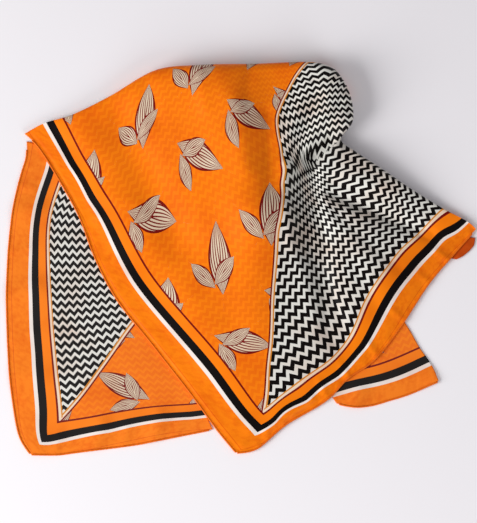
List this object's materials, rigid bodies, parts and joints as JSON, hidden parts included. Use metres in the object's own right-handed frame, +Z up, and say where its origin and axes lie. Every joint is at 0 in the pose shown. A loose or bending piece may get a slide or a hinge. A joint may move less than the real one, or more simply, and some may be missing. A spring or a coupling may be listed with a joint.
{
  "type": "silk square scarf",
  "caption": "Silk twill square scarf with a zigzag and motif print, folded softly and dropped on a flat surface.",
  "frame": {"origin": "centre of the folded scarf's box, on the surface that it lies on", "axes": "+Z up from the surface, -Y towards the viewer and the lower corner, +X to the viewer's right"},
  "size_m": [0.6578, 0.5554, 0.044],
  "materials": {
    "silk_print": "satin",
    "silk_reverse": "satin",
    "silk_shade": "satin",
    "rolled_hem": "satin"
  },
  "bodies": {
    "root": {"front_cloth": "silk_print", "inner_folds": "silk_shade", "back_cloth_left": "silk_reverse", "back_cloth_right": "silk_reverse", "turned_corner": "silk_shade", "hem_front_left": "rolled_hem", "hem_front_right": "rolled_hem", "hem_back_left": "rolled_hem", "hem_back_bottom": "rolled_hem", "hem_back_right": "rolled_hem"}
  },
  "joints": []
}
